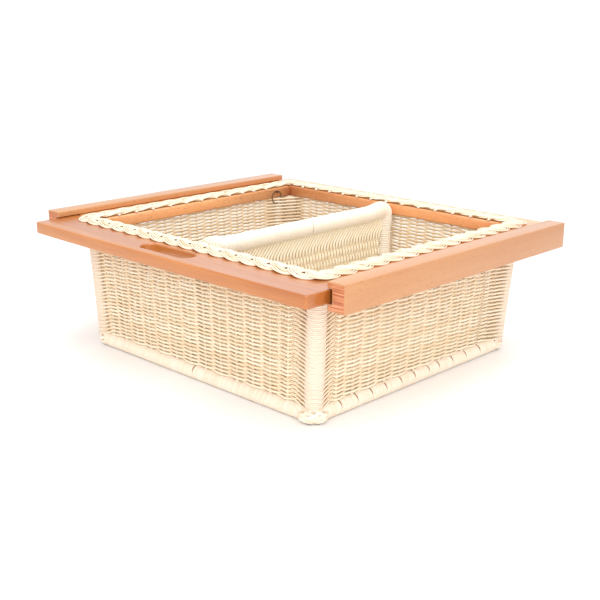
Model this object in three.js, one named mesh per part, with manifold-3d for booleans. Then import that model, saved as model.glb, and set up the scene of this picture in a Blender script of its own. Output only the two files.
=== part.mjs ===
// Pull-out wicker basket for a kitchen cabinet: a beech frame carries a woven basket with a
// lift-out divider, and the frame's side edges slide in two grooved runners.
// Millimetres, +Z up, front towards -Y, floor at Z = 0, origin under the middle of the frame.

import * as THREE from 'three';
import { mergeVertices } from 'three/addons/utils/BufferGeometryUtils.js';
import Module from 'manifold-3d';

const wasm = await Module();
wasm.setup();

// Gap kept between pieces that touch
const SEAT = 0.3;

// Frame
const FRAME_WIDTH = 520;
const FRAME_DEPTH = 500;
const FRAME_TOP = 180;
const BOARD_THICKNESS = 16;
const SIDE_BOARD_WIDTH = 50;
const FRONT_BOARD_WIDTH = 72;
const REAR_BOARD_WIDTH = 50;
const FRONT_BOW = 2.5;
const FRONT_CORNER_RADIUS = 5;
const CURVE_STEPS = 8;

// Finger slot in the front board
const SLOT_LENGTH = 94;
const SLOT_WIDTH = 25;
const SLOT_SETBACK = 26.5;

// Dowels in the four corner joints of the frame
const DOWEL_DIAMETER = 8;
const DOWEL_LENGTH = 40;
const DOWEL_SPACING = 24;
const DOWEL_PLAY = 0.35;
const DOWEL_SIDES = 12;

// Runners
const RUNNER_FRONT_SETBACK = 38;
const RUNNER_REAR_SETBACK = 22;
const RUNNER_WEB = 19;
const RUNNER_LIP_REACH = 7;
const RUNNER_TOP_LIP = 8;
const RUNNER_BOTTOM_LIP = 8.7;
const RUNNER_CHAMFER = 1.2;
const GROOVE_PLAY_ABOVE = 0.7;
const GROOVE_PLAY_SIDE = 3;

// Woven walls, with the stakes that pass up through the boards
const WALL_THICKNESS = 8;
const WALL_LEAN = 10;
const FRONT_WALL_LEAN = 5;
const STAKE_SETBACK = 8;
const STAKE_DIAMETER = 4;
const STAKE_HOLE_PLAY = 0.4;
const STAKE_PITCH = 30;
const STAKE_ROOT = 5;
const STAKE_SIDES = 6;

// Corner posts
const POST_DIAMETER = 24;
const POST_INSET = 5;
const POST_SIDES = 16;

// Foot rolls, corner knots and base
const FOOT_DIAMETER = 20;
const FOOT_INSET = 1.5;
const FOOT_SIDES = 12;
const KNOT_DIAMETER = 24;
const KNOT_CHAMFER = 4;
const BASE_THICKNESS = 8;

// Plaited border; it lies on the boards from their inner edges outward
const BORDER_WIDTH = 27;
const BORDER_HEIGHT = 8;
const BORDER_FROM_EDGE = 0.5;
const BORDER_ARCH_STEPS = 6;

// Divider
const DIVIDER_BAR_DIAMETER = 22;
const DIVIDER_BAR_RISE = 2.5;
const DIVIDER_POST_DIAMETER = 20;
const DIVIDER_POST_RISE = 5;
const DIVIDER_DOME_HEIGHT = 6;
const DIVIDER_DOME_ANGLE = 1.05;
const DIVIDER_DOME_STEPS = 3;
const DIVIDER_PANEL_THICKNESS = 7;
const DIVIDER_PLAY = 1.3;
const DIVIDER_SIDES = 16;

// Small ring that hangs from a pin on the inner face of the left board
const RING_DIAMETER = 19;
const RING_WIRE = 1.4;
const RING_PIN_DIAMETER = 1.6;
const RING_PIN_LENGTH = 5;
const RING_PIN_DROP = 6;
const RING_FROM_REAR = 83;
const RING_STEPS = 24;
const WIRE_SIDES = 6;

// How far a cutting shape runs past the face it cuts
const CUT_PAST = 5;

// Places worked out from the sizes above
const FRAME_BOTTOM = FRAME_TOP - BOARD_THICKNESS;
const FRONT_EDGE = -FRAME_DEPTH / 2;
const FRONT_END_EDGE = FRONT_EDGE + FRONT_BOW;
const REAR_EDGE = FRAME_DEPTH / 2;
const OPENING = {
  x: FRAME_WIDTH / 2 - SIDE_BOARD_WIDTH,
  front: FRONT_EDGE + FRONT_BOARD_WIDTH,
  rear: REAR_EDGE - REAR_BOARD_WIDTH,
};
const STAKE_LINE = {
  x: OPENING.x + STAKE_SETBACK,
  front: OPENING.front - STAKE_SETBACK,
  rear: OPENING.rear + STAKE_SETBACK,
};
const FOOT_AXIS_Z = FOOT_DIAMETER / 2;
const WALL_TOP = FRAME_BOTTOM - SEAT;
const WALL_BOTTOM = FOOT_DIAMETER + SEAT;
const DIVIDER_BOTTOM = FOOT_DIAMETER + SEAT;
const DIVIDER_BAR_Z = FRAME_TOP + DIVIDER_BAR_RISE - DIVIDER_BAR_DIAMETER / 2;

const material = (color, roughness, metalness = 0) =>
  new THREE.MeshStandardMaterial({ color, roughness, metalness });
const beech = () => material(0xe0a06c, 0.42);
const runnerBeech = () => material(0xeab184, 0.55);
const cane = () => material(0xf0d9b5, 0.6);
const paleCane = () => material(0xf8ecd8, 0.5);
const wire = () => material(0x6b5a48, 0.4, 0.6);

const basket = new THREE.Group();

function addPiece(name, geometry, pieceMaterial) {
  const mesh = new THREE.Mesh(geometry, pieceMaterial);
  mesh.name = name;
  basket.add(mesh);
  return mesh;
}

// Share of its full lean that a wall has reached at height z, from the top down
function leanShare(z) {
  return (WALL_TOP - z) / (WALL_TOP - FOOT_AXIS_Z);
}

// Middle planes of the four walls at height z
function wallPlanes(z) {
  const share = leanShare(z);
  return {
    x: STAKE_LINE.x - WALL_LEAN * share,
    front: STAKE_LINE.front + FRONT_WALL_LEAN * share,
    rear: STAKE_LINE.rear - WALL_LEAN * share,
  };
}

// A closed solid through rings of points that all have the same number of points.
// Each ring is convex and runs the same way round; the first and the last are capped.
function loft(rings) {
  const count = rings[0].length;
  const positions = rings.flat().flatMap((p) => [p.x, p.y, p.z]);
  const index = [];
  for (let r = 0; r < rings.length - 1; r++) {
    for (let i = 0; i < count; i++) {
      const a = r * count + i;
      const b = r * count + (i + 1) % count;
      index.push(a, b, b + count, a, b + count, a + count);
    }
  }
  const last = (rings.length - 1) * count;
  for (let i = 1; i < count - 1; i++) {
    index.push(0, i + 1, i);
    index.push(last, last + i, last + i + 1);
  }
  const geometry = new THREE.BufferGeometry();
  geometry.setAttribute('position', new THREE.Float32BufferAttribute(positions, 3));
  geometry.setIndex(index);
  geometry.computeVertexNormals();
  return geometry;
}

// Level ring round a centre, anticlockwise seen from above
function circleRing(centre, radius, sides) {
  const ring = [];
  for (let i = 0; i < sides; i++) {
    const angle = (i + 0.5) * 2 * Math.PI / sides;
    ring.push(new THREE.Vector3(
      centre.x + radius * Math.cos(angle),
      centre.y + radius * Math.sin(angle),
      centre.z,
    ));
  }
  return ring;
}

// Level rectangle, anticlockwise seen from above
function rectangleRing(x0, x1, y0, y1, z) {
  return [
    new THREE.Vector3(x0, y0, z),
    new THREE.Vector3(x1, y0, z),
    new THREE.Vector3(x1, y1, z),
    new THREE.Vector3(x0, y1, z),
  ];
}

// Point on the line through low and high that lies at height z
function atHeight(low, high, z) {
  return low.clone().lerp(high, (z - low.z) / (high.z - low.z));
}

// Round rod between two points with level ends
function rod(low, high, diameter, sides) {
  return loft([
    circleRing(low, diameter / 2, sides),
    circleRing(high, diameter / 2, sides),
  ]);
}

// Round bar along Y with a flat facet underneath
function barAlongY(x, z, diameter, sides, y0, y1) {
  const ring = (y) => circleRing(new THREE.Vector3(0, 0, 0), diameter / 2, sides)
    .map((p) => new THREE.Vector3(x + p.x, y, z - p.y));
  return loft([ring(y0), ring(y1)]);
}

function boxBetween(x0, x1, y0, y1, z0, z1) {
  return loft([rectangleRing(x0, x1, y0, y1, z0), rectangleRing(x0, x1, y0, y1, z1)]);
}

// Booleans on closed geometries
function toSolid(geometry) {
  const bare = new THREE.BufferGeometry();
  bare.setAttribute('position', geometry.getAttribute('position'));
  if (geometry.index) bare.setIndex(geometry.index);
  const merged = mergeVertices(bare, 1e-4);
  return new wasm.Manifold(new wasm.Mesh({
    numProp: 3,
    vertProperties: new Float32Array(merged.getAttribute('position').array),
    triVerts: new Uint32Array(merged.index.array),
  }));
}

function fromSolid(solid) {
  const mesh = solid.getMesh();
  const geometry = new THREE.BufferGeometry();
  geometry.setAttribute('position', new THREE.BufferAttribute(mesh.vertProperties, 3));
  geometry.setIndex(new THREE.BufferAttribute(mesh.triVerts, 1));
  geometry.computeVertexNormals();
  return geometry;
}

function cut(geometry, tools) {
  let solid = toSolid(geometry);
  for (const tool of tools) solid = solid.subtract(toSolid(tool));
  return fromSolid(solid);
}

function join(geometry, additions) {
  let solid = toSolid(geometry);
  for (const addition of additions) solid = solid.add(toSolid(addition));
  return fromSolid(solid);
}

// Axis of a corner post at height z; side is -1 for left, end is 'front' or 'rear'
function cornerPostAxis(side, end, z) {
  const planes = wallPlanes(z);
  const towardsMiddle = end === 'front' ? POST_INSET : -POST_INSET;
  return new THREE.Vector3(side * (planes.x - POST_INSET), planes[end] + towardsMiddle, z);
}

function cornerPost(side, end, extraRadius = 0, extraHeight = 0) {
  const low = cornerPostAxis(side, end, WALL_BOTTOM - extraHeight);
  const high = cornerPostAxis(side, end, WALL_TOP + extraHeight);
  return rod(low, high, POST_DIAMETER + 2 * extraRadius, POST_SIDES);
}

// Evenly spaced stake places between the two corner posts of a wall
function stakePlaces(from, to) {
  const span = to - from;
  const count = Math.max(2, Math.round(span / STAKE_PITCH));
  const places = [];
  for (let i = 0; i < count; i++) places.push(from + (i + 0.5) * span / count);
  return places;
}

// One stake where it leaves the top of a wall; it keeps the wall's lean through the board
function stake(wall, place, diameter, z0, z1) {
  const point = (z) => {
    const planes = wallPlanes(z);
    if (wall === 'left') return new THREE.Vector3(-planes.x, place, z);
    if (wall === 'right') return new THREE.Vector3(planes.x, place, z);
    return new THREE.Vector3(place, planes[wall], z);
  };
  return rod(point(z0), point(z1), diameter, STAKE_SIDES);
}

function wallStakes(wall, diameter, z0, z1) {
  const along = wall === 'left' || wall === 'right'
    ? stakePlaces(STAKE_LINE.front + POST_DIAMETER, STAKE_LINE.rear - POST_DIAMETER)
    : stakePlaces(-STAKE_LINE.x + POST_DIAMETER, STAKE_LINE.x - POST_DIAMETER);
  return along.map((place) => stake(wall, place, diameter, z0, z1));
}

function stakeHoles(wall) {
  const diameter = STAKE_DIAMETER + 2 * STAKE_HOLE_PLAY;
  return wallStakes(wall, diameter, FRAME_BOTTOM - CUT_PAST, FRAME_TOP + CUT_PAST);
}

// A leaning slab that ends in the corner posts, with its stakes standing out of its top edge
function wovenWall(wall) {
  const half = WALL_THICKNESS / 2;
  const ring = (z) => {
    const planes = wallPlanes(z);
    const postX = planes.x - POST_INSET;
    const postFront = planes.front + POST_INSET;
    const postRear = planes.rear - POST_INSET;
    if (wall === 'front') {
      return rectangleRing(-postX, postX, planes.front - half, planes.front + half, z);
    }
    if (wall === 'rear') {
      return rectangleRing(-postX, postX, planes.rear - half, planes.rear + half, z);
    }
    const middle = wall === 'left' ? -planes.x : planes.x;
    return rectangleRing(middle - half, middle + half, postFront, postRear, z);
  };
  const slab = loft([ring(WALL_BOTTOM), ring(WALL_TOP)]);
  const ends = wall === 'front' || wall === 'rear'
    ? [[-1, wall], [1, wall]]
    : [[wall === 'left' ? -1 : 1, 'front'], [wall === 'left' ? -1 : 1, 'rear']];
  const postSpaces = ends.map(([side, end]) => cornerPost(side, end, SEAT, CUT_PAST));
  const stakes = wallStakes(wall, STAKE_DIAMETER, WALL_TOP - STAKE_ROOT, FRAME_TOP);
  return join(cut(slab, postSpaces), stakes);
}

// Dowels of the four corner joints: they run along Y through the ends of the side boards
function dowel(side, end, offset, play = 0) {
  const x = side * (OPENING.x + SIDE_BOARD_WIDTH / 2) + offset;
  const z = FRAME_TOP - BOARD_THICKNESS / 2;
  const half = DOWEL_LENGTH / 2 + play;
  const diameter = DOWEL_DIAMETER + 2 * play;
  return barAlongY(x, z, diameter, DOWEL_SIDES, OPENING[end] - half, OPENING[end] + half);
}

const JOINT_CORNERS = [-1, 1].flatMap((side) => ['front', 'rear'].map((end) => [side, end]));
const DOWEL_OFFSETS = [-DOWEL_SPACING / 2, DOWEL_SPACING / 2];

function dowelHoles(keep) {
  return JOINT_CORNERS.filter(keep)
    .flatMap(([side, end]) => DOWEL_OFFSETS.map((offset) => dowel(side, end, offset, DOWEL_PLAY)));
}

// Plan of the front board: bowed front edge, rounded front corners, finger slot
function frontBoardPlan() {
  const halfWidth = FRAME_WIDTH / 2;
  const r = FRONT_CORNER_RADIUS;
  const bowRadius = (halfWidth * halfWidth + FRONT_BOW * FRONT_BOW) / (2 * FRONT_BOW);
  const bowHalfAngle = Math.asin((halfWidth - r) / bowRadius);
  const plan = new THREE.Shape();
  plan.moveTo(halfWidth, OPENING.front);
  plan.lineTo(-halfWidth, OPENING.front);
  plan.absarc(-halfWidth + r, FRONT_END_EDGE + r, r, Math.PI, 1.5 * Math.PI, false);
  plan.absarc(
    0,
    FRONT_EDGE + bowRadius,
    bowRadius,
    1.5 * Math.PI - bowHalfAngle,
    1.5 * Math.PI + bowHalfAngle,
    false,
  );
  plan.absarc(halfWidth - r, FRONT_END_EDGE + r, r, 1.5 * Math.PI, 2 * Math.PI, false);
  plan.closePath();

  const slotRadius = SLOT_WIDTH / 2;
  const slotX = SLOT_LENGTH / 2 - slotRadius;
  const slotY = FRONT_EDGE + SLOT_SETBACK;
  const slot = new THREE.Path();
  slot.moveTo(slotX, slotY - slotRadius);
  slot.absarc(slotX, slotY, slotRadius, -Math.PI / 2, Math.PI / 2, false);
  slot.absarc(-slotX, slotY, slotRadius, Math.PI / 2, 1.5 * Math.PI, false);
  slot.closePath();
  plan.holes.push(slot);
  return plan;
}

function frontBoard() {
  const board = new THREE.ExtrudeGeometry(frontBoardPlan(), {
    depth: BOARD_THICKNESS,
    bevelEnabled: false,
    curveSegments: CURVE_STEPS,
  });
  board.translate(0, 0, FRAME_BOTTOM);
  return cut(board, [...stakeHoles('front'), ...dowelHoles(([, end]) => end === 'front')]);
}

function rearBoard() {
  const half = FRAME_WIDTH / 2;
  const board = boxBetween(-half, half, OPENING.rear, REAR_EDGE, FRAME_BOTTOM, FRAME_TOP);
  return cut(board, [...stakeHoles('rear'), ...dowelHoles(([, end]) => end === 'rear')]);
}

function sideBoard(side) {
  const inner = side * OPENING.x;
  const outer = side * FRAME_WIDTH / 2;
  const board = boxBetween(
    Math.min(inner, outer),
    Math.max(inner, outer),
    OPENING.front + SEAT,
    OPENING.rear - SEAT,
    FRAME_BOTTOM,
    FRAME_TOP,
  );
  const wall = side < 0 ? 'left' : 'right';
  return cut(board, [...stakeHoles(wall), ...dowelHoles(([s]) => s === side)]);
}

// C section of the right runner, drawn in X and Z; the left one is its mirror
function runnerPlan() {
  const grooveBottom = FRAME_BOTTOM - SEAT;
  const grooveTop = FRAME_TOP + GROOVE_PLAY_ABOVE;
  const top = grooveTop + RUNNER_TOP_LIP;
  const bottom = grooveBottom - RUNNER_BOTTOM_LIP;
  const grooveX = FRAME_WIDTH / 2 + GROOVE_PLAY_SIDE;
  const outer = grooveX + RUNNER_WEB;
  const tip = grooveX - RUNNER_LIP_REACH;
  const c = RUNNER_CHAMFER;
  const points = [
    [tip, bottom + c], [tip + c, bottom], [outer - c, bottom], [outer, bottom + c],
    [outer, top - c], [outer - c, top], [tip + c, top], [tip, top - c],
    [tip, grooveTop], [grooveX, grooveTop], [grooveX, grooveBottom], [tip, grooveBottom],
  ];
  return points.map(([x, z]) => new THREE.Vector2(x, z));
}

function runner(side) {
  const outline = runnerPlan().map((p) => new THREE.Vector2(side * p.x, p.y));
  const geometry = new THREE.ExtrudeGeometry(new THREE.Shape(outline), {
    depth: FRAME_DEPTH - RUNNER_FRONT_SETBACK - RUNNER_REAR_SETBACK,
    bevelEnabled: false,
  });
  geometry.rotateX(Math.PI / 2);
  geometry.translate(0, REAR_EDGE - RUNNER_REAR_SETBACK, 0);
  return geometry;
}

// Axes of the four foot rolls
function footLines() {
  const planes = wallPlanes(FOOT_AXIS_Z);
  return {
    x: planes.x - FOOT_INSET,
    front: planes.front + FOOT_INSET,
    rear: planes.rear - FOOT_INSET,
  };
}

// Foot roll between the two corner knots of one side
function footRoll(wall) {
  const lines = footLines();
  const clear = KNOT_DIAMETER / 2 + SEAT;
  if (wall === 'left' || wall === 'right') {
    const x = wall === 'left' ? -lines.x : lines.x;
    return barAlongY(
      x, FOOT_AXIS_Z, FOOT_DIAMETER, FOOT_SIDES, lines.front + clear, lines.rear - clear,
    );
  }
  const roll = barAlongY(
    0, FOOT_AXIS_Z, FOOT_DIAMETER, FOOT_SIDES, -lines.x + clear, lines.x - clear,
  );
  roll.rotateZ(Math.PI / 2);
  roll.translate(0, lines[wall], 0);
  return roll;
}

function cornerKnot(side, end) {
  const lines = footLines();
  const centre = (z) => new THREE.Vector3(side * lines.x, lines[end], z);
  const radius = KNOT_DIAMETER / 2;
  return loft([
    circleRing(centre(0), radius - KNOT_CHAMFER, FOOT_SIDES),
    circleRing(centre(KNOT_CHAMFER), radius, FOOT_SIDES),
    circleRing(centre(FOOT_DIAMETER - KNOT_CHAMFER), radius, FOOT_SIDES),
    circleRing(centre(FOOT_DIAMETER), radius - KNOT_CHAMFER, FOOT_SIDES),
  ]);
}

// Base between the foot rolls, its top level with theirs
function wovenBase() {
  const lines = footLines();
  const inset = FOOT_DIAMETER / 2 + SEAT;
  return boxBetween(
    -lines.x + inset,
    lines.x - inset,
    lines.front + inset,
    lines.rear - inset,
    FOOT_DIAMETER - BASE_THICKNESS,
    FOOT_DIAMETER,
  );
}

// Arched section of the plaited border: u runs outward from the inner edge, v up from the board
function borderSection() {
  const points = [];
  for (let i = 0; i <= BORDER_ARCH_STEPS; i++) {
    const angle = Math.PI * i / BORDER_ARCH_STEPS;
    points.push({
      u: BORDER_WIDTH * (1 - Math.cos(angle)) / 2,
      v: BORDER_HEIGHT * Math.sqrt(Math.sin(angle)),
    });
  }
  return points;
}

// One strip of the border with mitred ends, lying on the board along one wall
function borderStrip(wall) {
  const inner = {
    x: OPENING.x + BORDER_FROM_EDGE,
    front: OPENING.front - BORDER_FROM_EDGE,
    rear: OPENING.rear + BORDER_FROM_EDGE,
  };
  const section = borderSection();
  const z0 = FRAME_TOP + SEAT;
  const ring = (sense) => section.map(({ u, v }) => {
    const x = inner.x + u;
    const front = inner.front - u;
    const rear = inner.rear + u;
    if (wall === 'front') return new THREE.Vector3(sense * (x - SEAT), front, z0 + v);
    if (wall === 'rear') return new THREE.Vector3(sense * (x - SEAT), rear, z0 + v);
    const y = sense > 0 ? rear - SEAT : front + SEAT;
    return new THREE.Vector3(wall === 'left' ? -x : x, y, z0 + v);
  });
  const forward = wall === 'front' || wall === 'right' ? 1 : -1;
  return loft([ring(-forward), ring(forward)]);
}

// Axis of a divider post at height z: it follows the wall below and clears the board above
function dividerPostAxis(end, z) {
  const sign = end === 'front' ? 1 : -1;
  const inset = DIVIDER_PLAY + DIVIDER_POST_DIAMETER / 2;
  const base = wallPlanes(DIVIDER_BOTTOM)[end] + sign * (WALL_THICKNESS / 2 + inset);
  const top = OPENING[end] + sign * inset;
  const low = new THREE.Vector3(0, base, DIVIDER_BOTTOM);
  const high = new THREE.Vector3(0, top, FRAME_BOTTOM);
  return z > FRAME_BOTTOM ? new THREE.Vector3(0, top, z) : atHeight(low, high, z);
}

// Divider post with a domed top
function dividerPost(end, extraRadius = 0) {
  const radius = DIVIDER_POST_DIAMETER / 2 + extraRadius;
  const top = FRAME_TOP + DIVIDER_POST_RISE + extraRadius;
  const rings = [
    circleRing(dividerPostAxis(end, DIVIDER_BOTTOM - extraRadius), radius, DIVIDER_SIDES),
    circleRing(dividerPostAxis(end, FRAME_BOTTOM), radius, DIVIDER_SIDES),
  ];
  for (let i = 0; i <= DIVIDER_DOME_STEPS; i++) {
    const angle = DIVIDER_DOME_ANGLE * i / DIVIDER_DOME_STEPS;
    const drop = DIVIDER_DOME_HEIGHT * (1 - Math.sin(angle) / Math.sin(DIVIDER_DOME_ANGLE));
    const axis = dividerPostAxis(end, top - drop);
    rings.push(circleRing(axis, radius * Math.cos(angle), DIVIDER_SIDES));
  }
  return loft(rings);
}

function dividerBar(extraRadius = 0) {
  const diameter = DIVIDER_BAR_DIAMETER + 2 * extraRadius;
  const y0 = dividerPostAxis('front', DIVIDER_BAR_Z).y;
  const y1 = dividerPostAxis('rear', DIVIDER_BAR_Z).y;
  return barAlongY(0, DIVIDER_BAR_Z, diameter, DIVIDER_SIDES, y0, y1);
}

function dividerPostSpaces() {
  return ['front', 'rear'].map((end) => dividerPost(end, SEAT));
}

function dividerPanel() {
  const half = DIVIDER_PANEL_THICKNESS / 2;
  const ring = (z) => rectangleRing(
    -half, half, dividerPostAxis('front', z).y, dividerPostAxis('rear', z).y, z,
  );
  const slab = loft([ring(DIVIDER_BOTTOM), ring(FRAME_BOTTOM), ring(DIVIDER_BAR_Z)]);
  return cut(slab, [dividerBar(SEAT), ...dividerPostSpaces()]);
}

function hangingRing() {
  const radius = (RING_DIAMETER - RING_WIRE) / 2;
  const ring = new THREE.TorusGeometry(radius, RING_WIRE / 2, WIRE_SIDES, RING_STEPS);
  ring.rotateY(Math.PI / 2);
  const pinZ = FRAME_TOP - RING_PIN_DROP;
  const hang = RING_PIN_DIAMETER / 2 + SEAT + RING_WIRE / 2;
  ring.translate(-OPENING.x + RING_PIN_LENGTH / 2, REAR_EDGE - RING_FROM_REAR, pinZ + hang - radius);
  return ring;
}

function ringPin() {
  const pin = new THREE.CylinderGeometry(
    RING_PIN_DIAMETER / 2, RING_PIN_DIAMETER / 2, RING_PIN_LENGTH, WIRE_SIDES,
  );
  pin.rotateZ(Math.PI / 2);
  const x = -OPENING.x + SEAT + RING_PIN_LENGTH / 2;
  pin.translate(x, REAR_EDGE - RING_FROM_REAR, FRAME_TOP - RING_PIN_DROP);
  return pin;
}

function buildFrame() {
  addPiece('front_board', frontBoard(), beech());
  addPiece('rear_board', rearBoard(), beech());
  addPiece('left_board', sideBoard(-1), beech());
  addPiece('right_board', sideBoard(1), beech());
  for (const [side, end] of JOINT_CORNERS) {
    const corner = `${end}_${side < 0 ? 'left' : 'right'}`;
    DOWEL_OFFSETS.forEach((offset, i) => {
      addPiece(`dowel_${corner}_${i + 1}`, dowel(side, end, offset), beech());
    });
  }
}

function buildRunners() {
  addPiece('left_runner', runner(-1), runnerBeech());
  addPiece('right_runner', runner(1), runnerBeech());
}

function buildBasket() {
  for (const wall of ['front', 'rear', 'left', 'right']) {
    addPiece(`${wall}_wall`, wovenWall(wall), cane());
    addPiece(`${wall}_foot_roll`, footRoll(wall), paleCane());
    addPiece(`${wall}_border`, borderStrip(wall), paleCane());
  }
  for (const [side, end] of JOINT_CORNERS) {
    const corner = `${end}_${side < 0 ? 'left' : 'right'}`;
    addPiece(`corner_post_${corner}`, cornerPost(side, end), paleCane());
    addPiece(`corner_knot_${corner}`, cornerKnot(side, end), paleCane());
  }
  addPiece('woven_base', wovenBase(), cane());
}

function buildDivider() {
  addPiece('divider_bar', cut(dividerBar(), dividerPostSpaces()), paleCane());
  addPiece('divider_post_front', dividerPost('front'), paleCane());
  addPiece('divider_post_rear', dividerPost('rear'), paleCane());
  addPiece('divider_panel', dividerPanel(), cane());
}

function buildRing() {
  addPiece('ring_pin', ringPin(), wire());
  addPiece('hanging_ring', hangingRing(), wire());
}

buildFrame();
buildRunners();
buildBasket();
buildDivider();
buildRing();

export default basket;
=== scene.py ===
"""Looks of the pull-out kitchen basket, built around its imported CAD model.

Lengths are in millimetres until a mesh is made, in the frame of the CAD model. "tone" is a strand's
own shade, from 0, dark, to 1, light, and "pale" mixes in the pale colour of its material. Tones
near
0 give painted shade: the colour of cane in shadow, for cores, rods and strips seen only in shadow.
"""

import math

import bpy
import numpy as np
from mathutils import Matrix, Vector
from mathutils.geometry import tessellate_polygon


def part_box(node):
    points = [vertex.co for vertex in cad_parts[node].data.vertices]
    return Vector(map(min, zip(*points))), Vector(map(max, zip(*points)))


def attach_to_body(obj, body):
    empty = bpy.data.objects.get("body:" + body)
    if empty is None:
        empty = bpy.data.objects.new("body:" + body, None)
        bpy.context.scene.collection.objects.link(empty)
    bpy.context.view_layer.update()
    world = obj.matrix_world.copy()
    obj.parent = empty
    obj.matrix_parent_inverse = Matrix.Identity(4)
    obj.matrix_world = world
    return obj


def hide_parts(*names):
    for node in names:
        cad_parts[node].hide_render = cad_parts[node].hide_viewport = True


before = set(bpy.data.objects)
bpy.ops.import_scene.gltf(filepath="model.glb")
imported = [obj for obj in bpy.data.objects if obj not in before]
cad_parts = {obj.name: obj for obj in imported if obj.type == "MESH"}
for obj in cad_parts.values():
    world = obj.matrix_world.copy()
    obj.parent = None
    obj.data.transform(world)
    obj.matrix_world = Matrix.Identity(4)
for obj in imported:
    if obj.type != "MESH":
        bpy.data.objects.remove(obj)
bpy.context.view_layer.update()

MM = 0.001
# Any level direction off the main axes does as the "up" of an upright strand
UP_FOR_UPRIGHTS = (0.6, 0.8, 0.01)
SIDES = ("front", "rear", "left", "right")
random = np.random.default_rng(7)

# Frame
FRAME_WIDTH = 520
FRAME_DEPTH = 500
FRAME_TOP = 180
BOARD_THICKNESS = 16
FRAME_BOTTOM = FRAME_TOP - BOARD_THICKNESS
OPENING_X = 210
OPENING_FRONT = -178
OPENING_REAR = 200
FRONT_EDGE = -FRAME_DEPTH / 2
REAR_EDGE = FRAME_DEPTH / 2
FRONT_BOW = 2.5
FRONT_CORNER_RADIUS = 5
SLOT_LENGTH = 94
SLOT_WIDTH = 25
SLOT_SETBACK = 26.5
ARRIS = 2.2
SEAT = 0.3
# Steps in a rounded edge, a corner of the front board, its bowed edge and an end of the slot
EDGE_STEPS = 5
CORNER_STEPS = 6
BOW_STEPS = 24
SLOT_STEPS = 14

# Runners
RUNNER_FRONT = -212
RUNNER_REAR = 228
GROOVE_X = 263
RUNNER_OUTER = 282
LIP_TIP = 256
GROOVE_TOP = 180.7
GROOVE_BOTTOM = 163.7
RUNNER_TOP = 188.7
RUNNER_BOTTOM = 155
RUNNER_ROUNDING = 1.6
GROOVE_ROUNDING = 0.6
RUNNER_END_ARRIS = 0.8

# Woven walls
STAKE_X = 218
STAKE_FRONT = -186
STAKE_REAR = 208
WALL_LEAN = 10
FRONT_WALL_LEAN = 5
WALL_TOP = 163.7
WALL_BOTTOM = 20.3
FOOT_Z = 10
POST_INSET = 5
ROWS = 57
ROW_PITCH = (WALL_TOP - WALL_BOTTOM) / ROWS
WEFT = 1.25
STAKE = 1.8
STAKE_BELOW_WALL = 8
# How far the weft (radius WEFT) runs before or behind the middle of the stakes (radius STAKE)
CRIMP = WEFT + STAKE - 0.05
# Shares by which the weft is higher and thinner where it lies flat on a stake, and higher on a post
WEFT_SPREAD = 0.24
WEFT_THINNING = 0.06
POST_SPREAD = 0.1
WEFT_WANDER = 0.16
# Reach of the weft and of the rings round a corner post, and how far rows sink there
WEFT_ON_POST = 10.8
RING_ON_POST = 10.6
RING_UNDER_WEFT = 9.6
RING_HEIGHT = 2.3 * WEFT
POST_BELOW_WALL = 6
POST_DROP = 3
# The lowest rows hang down further in front of a post
BOWL_DEPTH = 3
BOWL_TOP = 50
# Flat strips behind the weft, for the right, rear, left and front wall: thickness, share of a row's
# height, and tone; the tones are painted light, paler on the rear and left walls, which are seen
# from inside, to lift the shade there
LINING_THICKNESS = (0.6, 2.4, 2.4, 0.6)
LINING_SHARE = (0.5, 0.68, 0.68, 0.5)
LINING_PAINTED_TONE = (0.7, 1.0, 0.95, 0.7)
# The strips are thin, high and of other tones beside the posts, anticlockwise from the front right;
# these mostly dark tones are painted shade in the deep holes beside the posts
CORNER_THICKNESS = 0.6
CORNER_SHARE = 1.06
CORNER_SHADE_TONES = (0.14, 0.12, 0.6, 0.03)
CORNER_REACH = 15
CORNER_FADE = 36
# Places of the stakes at the top of the walls
STAKES_X = np.array([-186.8, -157, -128.1, -99.3, -70.4, -41.6, -11.7,
                     19.2, 50, 81, 111.8, 142.7, 173.6])
STAKES_Y = np.array([-147.7, -117.7, -87.7, -55.7, -24.7, 4.8, 34.3, 61.1, 89, 112.8, 139.7])

# Foot
FOOT_DIAMETER = 20
FOOT_INSET = 1.5
ROLL_SHORT_OF_CORNER = 6
ROLL_STRIP = 2.7
ROLL_STRIP_THICKNESS = 2.1
# The roll's dark core is painted shade, seen where its wrapping parts
ROLL_CORE = FOOT_DIAMETER - 3.6
ROLL_STEPS_PER_TURN = 18
# How far before their middle the wrapping of the front and the rear roll has a joint
ROLL_JOINT = 2.5
# Places along the side rolls where their wrapping parts, how far, and where on the roll's round
ROLL_SLITS = np.array([-139, -111, -84, -56, -27.5, 1, 31, 52.5, 81, 112, 143, 181])
SLIT_GAP = 1.7
SLIT_ANGLE = -0.95
BASE_LOW = 12
BASE_TOP = 20
BASE_ROW = 2.5
BASE_STRAND = 2.85
BASE_IN_ROLL = 1

# Corner knots: half sizes outward, sideways and up, and how far they lie in from the foot's corner
KNOT_HALF = np.array([9.4, 16.5, 7.7])
KNOT_RISE = 0.3
KNOT_SETBACK = 3.5
KNOT_SETBACK_NEAR = -1.2
# Bands of a knot: their places along a tilted pole, the pole's two parts and their waves
KNOT_BANDS = (-0.76, -0.26, 0.26, 0.76)
KNOT_POLE_SIDEWAYS = 0.62
KNOT_POLE_UP = 0.785
KNOT_BAND = 5.0
KNOT_BAND_THICKNESS = 1.8
KNOT_WAVE = 0.07
# Dark core inside the bands, painted shade seen through the gaps between them: its thickness from
# the bottom up, and half its height
KNOT_CORE = np.array([9, 15, 17, 15, 9])
KNOT_CORE_HALF = (0, 0, 7)

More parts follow.
